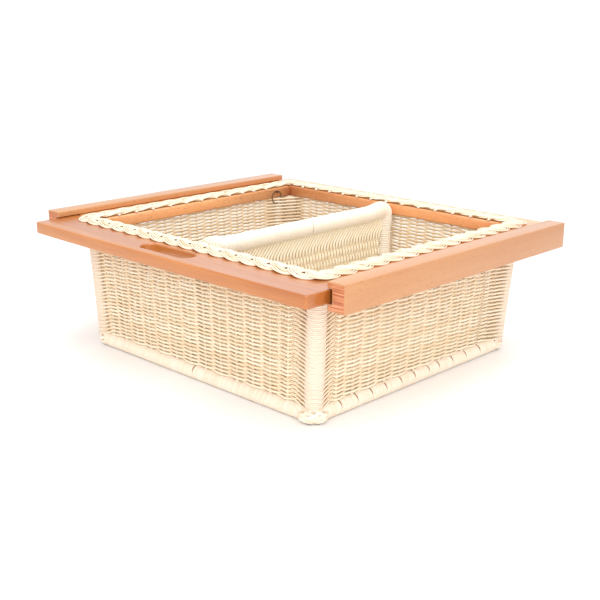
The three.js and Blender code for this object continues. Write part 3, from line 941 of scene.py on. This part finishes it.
def build_knots():
    """An oval of crossing bands at each bottom corner, widest across the corner."""
    x, front, rear = foot_lines()
    a = full_turn(40)
    corners = [(end, y, side) for end, y in (("front", front), ("rear", rear)) for side in (-1, 1)]
    for end, y, side in corners:
        knot = Strands()
        outward = np.array([side, 1 if end == "rear" else -1, 0]) / math.sqrt(2)
        sideways = np.array([-outward[1], outward[0], 0])
        nearest = side > 0 and end == "front"
        setback = KNOT_SETBACK_NEAR if nearest else KNOT_SETBACK
        centre = np.array([side * x, y, FOOT_Z + KNOT_RISE]) - outward * setback
        axes = np.stack([outward, sideways, (0, 0, 1)])
        for tilt in (-1, 1):
            pole = np.array([0, KNOT_POLE_SIDEWAYS * tilt, KNOT_POLE_UP])
            first = np.array([1.0, 0, 0])
            second = np.cross(pole, first)
            round_pole = np.cos(a)[:, None] * first + np.sin(a)[:, None] * second
            for k, place in enumerate(KNOT_BANDS):
                lift = 1 + KNOT_WAVE * np.cos(3 * a + k * math.pi + (tilt > 0) * math.pi)
                unit = pole * place + round_pole * (math.sqrt(1 - place ** 2) * lift)[:, None]
                path = centre + (unit * KNOT_HALF) @ axes
                knot.add(path, KNOT_BAND, KNOT_BAND_THICKNESS, up=pole @ axes, closed=True,
                         tone=random.uniform(0.3, 0.9))
        # the dark core is painted shade in the gaps between the bands
        core = np.linspace(centre - KNOT_CORE_HALF, centre + KNOT_CORE_HALF, len(KNOT_CORE))
        knot.add(core, KNOT_CORE, KNOT_CORE, up=outward, sides=16, tone=0.0)
        name = f"corner_knot_{end}_{'left' if side < 0 else 'right'}"
        knot.finish(f"{name}_cane", WRAP, "basket", [name])


def build_base():
    """Plain weave: strands across X over stakes that run from front to rear."""
    base = Strands()
    x1, y0, y1 = moved_in(foot_lines(), FOOT_DIAMETER / 2 - BASE_IN_ROLL)
    z = (BASE_LOW + BASE_TOP) / 2
    stakes = spread_x(STAKES_X, WALL_BOTTOM)
    for s in stakes:
        base.add(np.linspace((s, y0, z), (s, y1, z), 8), 2 * STAKE, 2 * STAKE, tone=0.4)
    rows = round((y1 - y0) / BASE_ROW)
    edge = [-x1, *stakes, x1]
    xs = steps_between(edge, 4)
    for row in range(rows):
        signs = [1 if (i + row) % 2 == 0 else -1 for i in range(len(edge))]
        heights = z + CRIMP * waves_between(signs, 4)
        ys = y0 + (row + 0.5) * (y1 - y0) / rows + smooth_noise(len(xs), 6, 0.1)
        base.add(np.column_stack([xs, ys, heights]), BASE_ROW, BASE_STRAND, sides=6)
    base.finish("woven_base_cane", WEAVE, "basket", ["woven_base"])


# Plaited border

def border_line(count):
    """Middle line of the border, a rectangle with round corners, and its outward direction."""
    r = BORDER_CORNER
    x = OPENING_X + BORDER_MIDDLE - r
    y0, y1 = OPENING_FRONT - BORDER_MIDDLE + r, OPENING_REAR + BORDER_MIDDLE - r
    corners = [(x, y0, -90), (x, y1, 0), (-x, y1, 90), (-x, y0, 180)]
    dense, normals = [], []
    for cx, cy, start in corners:
        for a in np.radians(np.linspace(start, start + 90, 16)):
            dense.append((cx + r * math.cos(a), cy + r * math.sin(a)))
            normals.append((math.cos(a), math.sin(a)))
    dense, normals = np.array(dense), np.array(normals)
    step = np.linalg.norm(np.roll(dense, -1, 0) - dense, axis=1)
    at = np.concatenate([[0], np.cumsum(step)])
    closed = np.vstack([dense, dense[:1]])
    closed_normals = np.vstack([normals, normals[:1]])
    s = np.arange(count) * step.sum() / count
    return places_at(s, at, closed), unit(places_at(s, at, closed_normals))


def build_border():
    """Three groups of rods plaited round the frame, straight along the inner edge."""
    plait = Strands()
    count = LOBES * PLACES_PER_LOBE
    line, out = border_line(count)
    turn = np.arange(count) / count * 2 * math.pi * LOBES / 3
    for group in range(3):
        phase = turn + group * 2 * math.pi / 3
        wave = np.sin(phase)
        inner = -np.sin(math.pi / 2 * np.clip(-wave / 0.5, 0, 1))
        u = GROUP_SWING * np.where(wave > 0, wave, inner)
        v = GROUP_HEIGHT + GROUP_CLIMB * np.sin(2 * phase)
        centre = np.column_stack([line + out * u[:, None], FRAME_TOP + v])
        centre = softened(centre)
        along = np.roll(centre, -1, 0) - np.roll(centre, 1, 0)
        sideways = unit(np.stack([along[:, 1], -along[:, 0], np.zeros(count)], 1))
        for k in range(GROUP_RODS):
            place = (k - (GROUP_RODS - 1) / 2) * PLAIT_SPACING
            path = centre + sideways * place
            path[:, 2] += smooth_noise(count, 60, 0.16) - GROUP_ARCH * (place / PLAIT_SPACING) ** 2
            outward = ((path[:, :2] - line) * out).sum(1)
            for drop, away in ((OUTER_DROP, outward), (INNER_DROP, -outward)):
                share = np.clip((away - 1) / DROP_REACH, 0, 1)
                path[:, 2] -= drop * share ** 2 * (3 - 2 * share)
            path[:, :2] += out * smooth_noise(count, 70, 0.3)[:, None]
            size = PLAIT_ROD * (1 + smooth_noise(count, 90, 0.05))
            plait.add(path, size, size, sides=6, closed=True, pale=0.2)
    # the bed rods are dark as painted shade under the plait
    for u in np.arange(BED_INNER, BED_OUTER, BED_ROD):
        path = np.column_stack([line + out * u, np.full(count, FRAME_TOP + BED_RISE)])
        plait.add(path[::3], BED_ROD, BED_ROD, sides=6, closed=True, tone=BED_SHADE_TONE)
    for place, outward in rod_ends():
        path = np.linspace(place + outward * ROD_END_IN, place - outward * ROD_END_OUT, 4)
        path = np.column_stack([path, np.full(4, FRAME_TOP + ROD_END_RISE)])
        plait.add(path, ROD_END, ROD_END, tone=1.0, pale=1.0)
    nodes = [f"{side}_border" for side in SIDES]
    plait.finish("plaited_border", PLAIT, "basket", nodes)


def rod_ends():
    """Cut ends that look out under the plait beside each stake, along the edges of the opening."""
    ends = []
    for x in STAKES_X + ROD_END_BESIDE:
        ends.append((np.array([x, OPENING_FRONT]), np.array([0, -1.0])))
        ends.append((np.array([x, OPENING_REAR]), np.array([0, 1.0])))
    for y in STAKES_Y + ROD_END_BESIDE:
        ends.append((np.array([-OPENING_X, y]), np.array([-1.0, 0])))
        ends.append((np.array([OPENING_X, y]), np.array([1.0, 0])))
    return ends


# Divider

def divider_ends(z):
    """Places in Y of the posts' axes at a height; they lean with the walls up to the frame."""
    inside = DIVIDER_PLAY + DIVIDER_POST
    share = min(1.0, (z - DIVIDER_FOOT) / (FRAME_BOTTOM - DIVIDER_FOOT))
    _, front, rear = walls_at(DIVIDER_FOOT)
    ends = []
    for sign, wall, opening in ((1, front, OPENING_FRONT), (-1, rear, OPENING_REAR)):
        low = wall + sign * (DIVIDER_FROM_WALL + inside)
        top = opening + sign * inside
        ends.append(low + (top - low) * share)
    return ends


def divider_skew(y):
    """The divider stands a little askew: how far it lies to the right at a place along it."""
    return DIVIDER_SKEW * (y - OPENING_FRONT) / (OPENING_REAR - OPENING_FRONT)


def hoop_line():
    """Middle line of the divider's hoop and its radius: front post, bar, rear post."""
    bend_z = BAR_Z + ELBOW_RISE - ELBOW
    z = np.linspace(DIVIDER_FOOT, bend_z, 40, endpoint=False)
    a = np.linspace(0, math.pi / 2, 12)
    y0, y1 = divider_ends(BAR_Z)
    along = np.linspace(ELBOW, y1 - y0 - ELBOW, 80)[1:-1]
    away = np.minimum(along, along[::-1]) - ELBOW
    ease = np.exp(-(away / ELBOW_EASE) ** 2)
    posts = np.array([divider_ends(h) for h in z])
    front, rear = np.column_stack([posts[:, 0], z]), np.column_stack([posts[:, 1], z])[::-1]
    bend = ELBOW * np.stack([1 - np.cos(a), np.sin(a)], 1)
    bend_back = bend[::-1] * (-1, 1)
    bar = np.stack([y0 + along, BAR_Z + ELBOW_RISE * ease], 1)
    bar_radius = BAR_RADIUS + ELBOW_WIDENING * ease
    line = np.concatenate([front, (y0, bend_z) + bend, bar, (y1, bend_z) + bend_back, rear])
    elbow = BAR_RADIUS + ELBOW_WIDENING * np.sin(a)
    post = DIVIDER_POST + np.clip((z - POST_WIDENING_Z) / 20, 0, 1)
    radius = np.concatenate([post, elbow, bar_radius, elbow[::-1], post[::-1]])
    return np.column_stack([divider_skew(line[:, 0]), line]), radius


def build_divider_hoop():
    """Posts and bar of the divider are one bent rod, wrapped from end to end."""
    hoop = Strands()
    line, radius = hoop_line()
    radius = radius - HOOP_THINNER
    core = 2 * (radius - HOOP_CORE_INSET)
    # the dark core is painted shade, seen where the wrapping parts at its joint
    hoop.add(line[::3], core[::3], core[::3], up=(1, 0, 0), sides=22, tone=0.1)
    at = np.concatenate([[0], np.cumsum(np.linalg.norm(np.diff(line, axis=0), axis=1))])
    along = np.linspace(0, at[-1], int(at[-1] / HOOP_STRIP * HOOP_STEPS_PER_TURN))
    middle = places_at(along, at, line)
    tangent = unit(np.gradient(middle, axis=0))
    across = np.cross(tangent, (1, 0, 0))
    angle = along / HOOP_STRIP * 2 * math.pi
    on_bar = slice(40, 140)
    joint = along - np.interp(HOOP_JOINT_Y, line[on_bar, 1], at[on_bar])
    shift = HOOP_JOINT_GAP * parting(joint, HOOP_STRIP) * np.clip(np.cos(angle), 0, 1) ** 2
    middle += tangent * shift[:, None]
    reach = (np.interp(along, at, radius) - HOOP_STRIP_THICKNESS / 2)[:, None]
    path = middle + reach * (np.cos(angle)[:, None] * (1, 0, 0) + np.sin(angle)[:, None] * across)
    path[:, 2] += BAR_SAG * np.clip(path[:, 2] - middle[:, 2], None, 0)
    tones = random.uniform(0.7, 1, int(at[-1] / HOOP_STRIP) + 2)[(along / HOOP_STRIP).astype(int)]
    hoop.add(path, HOOP_STRIP, HOOP_STRIP_THICKNESS, up=tangent, sides=6, tone=tones[:, None],
             pale=0.6)
    hoop.finish("divider_hoop_cane", HOOP_WRAP, "divider",
                ["divider_bar", "divider_post_front", "divider_post_rear"])


def panel_strand(y, start, heights):
    """One upright strand, before and behind the level rods by turns and slanting up into the bar.

    The second result says on which side of the rods it runs, from -1 to 1.
    """
    signs = [start * (1 if i % 2 == 0 else -1) for i in range(len(heights))]
    xs = [0.0, *(PANEL_OFFSET * sign for sign in signs)]
    z = steps_between([DIVIDER_FOOT + 1.5, *heights], 5)
    x = waves_between(xs, 5)
    climb = np.linspace(0, 1, 8)
    z = np.append(z, TOP_ROD_Z + climb * (BAR_Z - PANEL_UNDER_BAR - TOP_ROD_Z))
    x = np.append(x, np.full(8, xs[-1]))
    slant = math.tan(PANEL_SLANT) * np.clip(z - TOP_ROD_Z - 5, 0, None)
    side = x / PANEL_OFFSET * np.clip(1 - (z - TOP_ROD_Z) / 40, 0.8, 1)
    return np.column_stack([x, y + signs[-1] * slant, z]), side


def level_rod(panel, z, height, thickness, tone):
    ends = [(divider_skew(y), y, z) for y in divider_ends(z)]
    panel.add(np.linspace(*ends, 3), height, thickness, tone=tone)


def build_divider_panel():
    panel = Strands()
    heights = np.arange(TOP_ROD_Z, DIVIDER_FOOT + 6, -ROD_PITCH)[::-1]
    # level rods, dark as painted shade in the slits
    for z in heights:
        level_rod(panel, z, *ROD)
    # close dark rods behind the slanting strands: painted shade in their gaps
    for z in np.arange(TOP_ROD_Z + 3, BAR_Z - PANEL_UNDER_BAR, SHADE_BACKING_PITCH):
        level_rod(panel, z, *SHADE_BACKING)
    low, high = divider_ends(DIVIDER_FOOT)
    count = round((high - low - 2 * PANEL_MARGIN) / PANEL_PITCH)
    facing = np.cos(np.arange(PANEL_SIDES) * 2 * math.pi / PANEL_SIDES)
    for k in range(count):
        y = low + PANEL_MARGIN + (k + 0.5) * PANEL_PITCH
        path, side = panel_strand(y, 1 if k % 2 == 0 else -1, heights)
        path[:, 1] = np.clip(path[:, 1] + smooth_noise(len(path), 6, 0.12), low - 2, high + 2)
        path[:, 0] += divider_skew(path[:, 1])
        width = PANEL_STRAND + PANEL_SPREAD * side ** 2
        # painted shade: darker on the faces that look at the level rods, where shade falls between
        # them
        tone = random.uniform(0.6, 1) * (1 - np.clip(1.2 * side[:, None] * facing - 0.45, 0, 1))
        panel.add(path, width, PANEL_STRAND - 0.3, up=(0, 1, 0), sides=PANEL_SIDES, tone=tone,
                  pale=0.25)
    panel.finish("divider_panel_cane", PANEL_CANE, "divider", ["divider_panel"])


def build_ring():
    ring = Strands()
    low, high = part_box("hanging_ring")
    centre = (np.array(low) + np.array(high)) / 2 / MM - (0, 0, RING_LOWER)
    radius = (high.z - low.z) / 2 / MM + RING_WIDER
    a = full_turn(48)
    path = centre + radius * np.stack([0 * a, np.cos(a), np.sin(a)], 1)
    ring.add(path, RING_WIRE, RING_WIRE, up=(1, 0, 0), closed=True)
    ring.finish("hanging_ring_wire", WIRE, "basket", ["hanging_ring"])
    pin = Strands()
    low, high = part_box("ring_pin")
    y, z = (low.y + high.y) / 2 / MM, (low.z + high.z) / 2 / MM
    x0, x1 = low.x / MM, high.x / MM
    size = [PIN_SHAFT, PIN_SHAFT, *PIN_HEAD]
    pin.add([(x, y, z) for x in (x0, x1 - 0.8, x1 - 0.6, x1)], size, size)
    pin.finish("ring_pin_wire", WIRE, "basket", ["ring_pin"])


# Camera, light and floor

# In metres and radians, fitted to the edges of the frame and the runners in the photo
CAMERA_AT = (0.9695, -0.9843, 0.4787)
CAMERA_TURN = 0.773209
CAMERA_DIP = 0.287801
CAMERA_ROLL = 0.002417
SENSOR = 36
CAMERA_LENS = 1026.263 / 600 * SENSOR


def build_camera():
    a, e = CAMERA_TURN, CAMERA_DIP
    ahead = Vector((-math.sin(a) * math.cos(e), math.cos(a) * math.cos(e), -math.sin(e)))
    right = Vector((math.cos(a), math.sin(a), 0))
    up = right.cross(ahead)
    c, s = math.cos(CAMERA_ROLL), math.sin(CAMERA_ROLL)
    turned_right, turned_up = c * right + s * up, -s * right + c * up
    data = bpy.data.cameras.new("camera")
    data.lens = CAMERA_LENS
    data.sensor_width = SENSOR
    data.clip_end = 20
    camera = in_scene("camera", data)
    basis = Matrix((turned_right, turned_up, -ahead)).transposed().to_4x4()
    camera.matrix_world = Matrix.Translation(CAMERA_AT) @ basis
    bpy.context.scene.camera = camera


def area_light(name, at, aim, size, power):
    data = bpy.data.lights.new(name, "AREA")
    data.shape = "DISK"
    data.size = size
    data.energy = power
    light = in_scene(name, data)
    light.location = at
    light.rotation_euler = (Vector(aim) - Vector(at)).to_track_quat("-Z", "Y").to_euler()


def build_studio():
    scene = bpy.context.scene
    scene.view_settings.view_transform = "Standard"
    world = bpy.data.worlds.new("studio")
    world.use_nodes = True
    background = world.node_tree.nodes["Background"]
    background.inputs["Color"].default_value = (1.0, 1.0, 1.0, 1)
    background.inputs["Strength"].default_value = 1.02
    scene.world = world
    area_light("key", (1.42, -1.42, 1.85), (0, 0, 0.05), 2.4, 20)
    area_light("fill", (1.75, -1.75, 0.75), (0, 0, 0.1), 1.5, 15)
    area_light("overhead", (0.2, 0, 2.2), (-0.1, 0.1, 0.1), 2.0, 21)
    area_light("behind", (-1.5, 2.4, 1.0), (0, 0, 0.18), 2.2, 3)

    mesh = bpy.data.meshes.new("floor")
    reach = 1.25
    rim = [(reach * math.cos(a), reach * math.sin(a), 0) for a in full_turn(96)]
    mesh.from_pydata(rim, [], [range(len(rim))])
    floor = in_scene("floor", mesh)
    m = Nodes("floor_paint")
    cloud = m.noise(m.place("Object"), (3, 3, 3))
    m.surface({"Base Color": m.share(cloud, 0, 1, 0.93, 0.95), "Roughness": 0.9})
    mesh.materials.append(m.material)


build_camera()
build_wood()
build_walls()
build_posts()
build_foot()
build_knots()
build_base()
build_border()
build_divider_hoop()
build_divider_panel()
build_ring()
build_studio()
